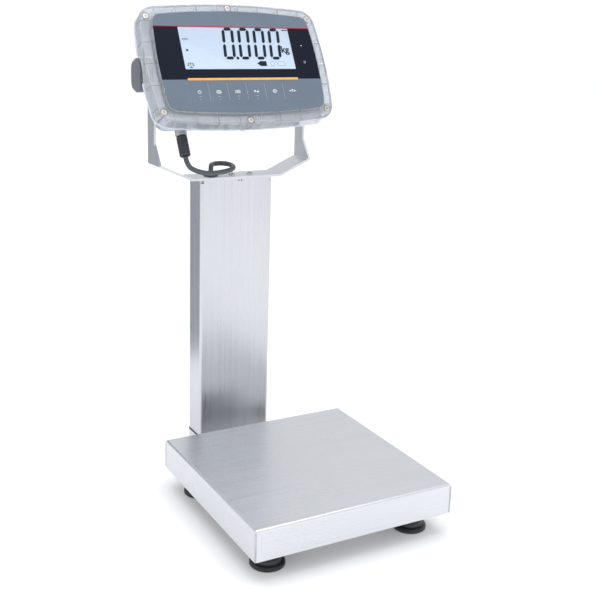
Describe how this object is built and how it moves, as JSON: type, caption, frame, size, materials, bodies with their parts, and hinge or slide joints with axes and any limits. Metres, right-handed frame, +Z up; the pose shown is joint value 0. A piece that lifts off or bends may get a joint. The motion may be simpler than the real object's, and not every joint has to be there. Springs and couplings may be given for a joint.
{
  "type": "bench scale",
  "caption": "Bench scale with a square stainless pan on levelling feet and a rear column that carries a tilting indicator with a clear housing, display and keys.",
  "frame": {"origin": "on the floor, under the middle of the whole scale seen from above", "axes": "+Z up, +Y from the pan towards the column, +X to the right of someone reading the display"},
  "size_m": [0.259, 0.4093, 0.5973],
  "materials": {
    "pan_steel": "fine brushed stainless sheet",
    "frame_steel": "grey powder coat",
    "column_steel": "brushed stainless, grain upright",
    "bracket_steel": "brushed stainless strip",
    "cell_aluminium": "machined",
    "zinc_fastener": "bright plated",
    "foot_rubber": "moulded, matt",
    "pad_rubber": "moulded, matt",
    "vial": "clear cap over tinted liquid",
    "clear_case": "clear moulded polycarbonate",
    "grey_case": "fine moulded texture",
    "overlay_film": "printed film",
    "display_glass": "clear",
    "lcd": "backlit panel",
    "light_bar": "lit diffuser",
    "board_green": "solder mask",
    "battery_case": "moulded",
    "brass_insert": "turned",
    "knob_plastic": "moulded, satin",
    "washer_plastic": "plain",
    "plug_metal": "nickel plated, knurled",
    "plug_rubber": "moulded",
    "cable_jacket": "satin jacket"
  },
  "bodies": {
    "root": {"base_rails": "frame_steel", "bracket_screws": "zinc_fastener", "cable_grommet": "pad_rubber", "cell_bolts_lower": "zinc_fastener", "cell_lower_spacer": "frame_steel", "column_arm": "frame_steel", "column_cap": "column_steel", "column_gasket": "pad_rubber", "column_screws": "zinc_fastener", "column_spigot": "frame_steel", "column_tube": "column_steel", "cross_beams": "frame_steel", "foot_nuts": "zinc_fastener", "indicator_bracket": "bracket_steel", "level_vial": "vial", "load_cell": "cell_aluminium", "load_cell_cable": "cable_jacket", "overload_stops": "zinc_fastener", "sensor_cable": "cable_jacket"},
    "load_frame": {"cell_upper_spacer": "frame_steel", "cell_bolts_upper": "zinc_fastener", "spider_plate": "frame_steel", "spider_bars": "frame_steel", "pan_pads": "pad_rubber"},
    "pan": {"weighing_pan": "pan_steel"},
    "indicator": {"rear_housing": "grey_case", "housing_gasket": "pad_rubber", "front_housing": "clear_case", "housing_screws": "brass_insert", "housing_inserts": "brass_insert", "overlay": "overlay_film", "display_window": "display_glass", "status_light_bar": "light_bar", "lcd_module": "lcd", "keypad_board": "board_green", "main_board": "board_green", "battery_pack": "battery_case", "blanking_plugs": "grey_case", "pivot_inserts": "brass_insert", "pivot_washers": "washer_plastic", "sensor_socket": "plug_metal", "plug_body": "plug_rubber"},
    "clamp_left": {"knob_left": "knob_plastic"},
    "clamp_right": {"knob_right": "knob_plastic"},
    "coupling_nut": {"plug_nut": "plug_metal"},
    "foot_fl": {"foot_pad_fl": "foot_rubber"},
    "stud_fl": {"foot_stud_fl": "zinc_fastener"},
    "foot_fr": {"foot_pad_fr": "foot_rubber"},
    "stud_fr": {"foot_stud_fr": "zinc_fastener"},
    "foot_rl": {"foot_pad_rl": "foot_rubber"},
    "stud_rl": {"foot_stud_rl": "zinc_fastener"},
    "foot_rr": {"foot_pad_rr": "foot_rubber"},
    "stud_rr": {"foot_stud_rr": "zinc_fastener"},
    "button_1": {"key_1": "overlay_film"},
    "button_2": {"key_2": "overlay_film"},
    "button_3": {"key_3": "overlay_film"},
    "button_4": {"key_4": "overlay_film"},
    "button_5": {"key_5": "overlay_film"},
    "button_6": {"key_6": "overlay_film"}
  },
  "joints": [
    {"name": "weigh_deflection", "type": "slide", "parent": "root", "child": "load_frame", "axis": [0, 0, 1], "range_m": [-0.0004, 0], "stiffness_N_per_m": 600000, "deforming": ["load_cell"]},
    {"name": "pan_lift", "type": "slide", "parent": "load_frame", "child": "pan", "axis": [0, 0, 1], "range_m": [0, 0.045]},
    {"name": "indicator_tilt", "type": "hinge", "parent": "root", "child": "indicator", "pos_m": [0, 0.14334, 0.5095], "axis": [-1, 0, 0], "range_deg": [-26, 35], "deforming": ["sensor_cable"]},
    {"name": "knob_left_turn", "type": "hinge", "parent": "indicator", "child": "clamp_left", "pos_m": [-0.1095, 0.14334, 0.5095], "axis": [-1, 0, 0], "continuous": true},
    {"name": "knob_right_turn", "type": "hinge", "parent": "indicator", "child": "clamp_right", "pos_m": [0.1095, 0.14334, 0.5095], "axis": [1, 0, 0], "continuous": true},
    {"name": "plug_nut_turn", "type": "hinge", "parent": "indicator", "child": "coupling_nut", "pos_m": [-0.077, 0.12209, 0.44361], "axis": [0, 0.4802, 0.8771], "continuous": true},
    {"name": "foot_fl_level", "type": "slide", "parent": "root", "child": "foot_fl", "axis": [0, 0, -1], "range_m": [0, 0.008]},
    {"name": "foot_fl_turn", "type": "hinge", "parent": "foot_fl", "child": "stud_fl", "pos_m": [-0.0944, -0.17046, 0.014], "axis": [0, 0, -1], "range_deg": [0, 2304.5]},
    {"name": "foot_fr_level", "type": "slide", "parent": "root", "child": "foot_fr", "axis": [0, 0, -1], "range_m": [0, 0.008]},
    {"name": "foot_fr_turn", "type": "hinge", "parent": "foot_fr", "child": "stud_fr", "pos_m": [0.0944, -0.17046, 0.014], "axis": [0, 0, -1], "range_deg": [0, 2304.5]},
    {"name": "foot_rl_level", "type": "slide", "parent": "root", "child": "foot_rl", "axis": [0, 0, -1], "range_m": [0, 0.008]},
    {"name": "foot_rl_turn", "type": "hinge", "parent": "foot_rl", "child": "stud_rl", "pos_m": [-0.0944, 0.01514, 0.014], "axis": [0, 0, -1], "range_deg": [0, 2304.5]},
    {"name": "foot_rr_level", "type": "slide", "parent": "root", "child": "foot_rr", "axis": [0, 0, -1], "range_m": [0, 0.008]},
    {"name": "foot_rr_turn", "type": "hinge", "parent": "foot_rr", "child": "stud_rr", "pos_m": [0.0944, 0.01514, 0.014], "axis": [0, 0, -1], "range_deg": [0, 2304.5]},
    {"name": "key_1_press", "type": "slide", "parent": "indicator", "child": "button_1", "axis": [0, 0.8771, -0.4802], "range_m": [0, 0.0004], "stiffness_N_per_m": 2000, "springref_m": -0.0005},
    {"name": "key_2_press", "type": "slide", "parent": "indicator", "child": "button_2", "axis": [0, 0.8771, -0.4802], "range_m": [0, 0.0004], "stiffness_N_per_m": 2000, "springref_m": -0.0005},
    {"name": "key_3_press", "type": "slide", "parent": "indicator", "child": "button_3", "axis": [0, 0.8771, -0.4802], "range_m": [0, 0.0004], "stiffness_N_per_m": 2000, "springref_m": -0.0005},
    {"name": "key_4_press", "type": "slide", "parent": "indicator", "child": "button_4", "axis": [0, 0.8771, -0.4802], "range_m": [0, 0.0004], "stiffness_N_per_m": 2000, "springref_m": -0.0005},
    {"name": "key_5_press", "type": "slide", "parent": "indicator", "child": "button_5", "axis": [0, 0.8771, -0.4802], "range_m": [0, 0.0004], "stiffness_N_per_m": 2000, "springref_m": -0.0005},
    {"name": "key_6_press", "type": "slide", "parent": "indicator", "child": "button_6", "axis": [0, 0.8771, -0.4802], "range_m": [0, 0.0004], "stiffness_N_per_m": 2000, "springref_m": -0.0005}
  ],
  "couplings": [
    {"joint": "foot_fl_turn", "follows": "foot_fl_level", "rad_per_m": 5026.5},
    {"joint": "foot_fr_turn", "follows": "foot_fr_level", "rad_per_m": 5026.5},
    {"joint": "foot_rl_turn", "follows": "foot_rl_level", "rad_per_m": 5026.5},
    {"joint": "foot_rr_turn", "follows": "foot_rr_level", "rad_per_m": 5026.5}
  ]
}
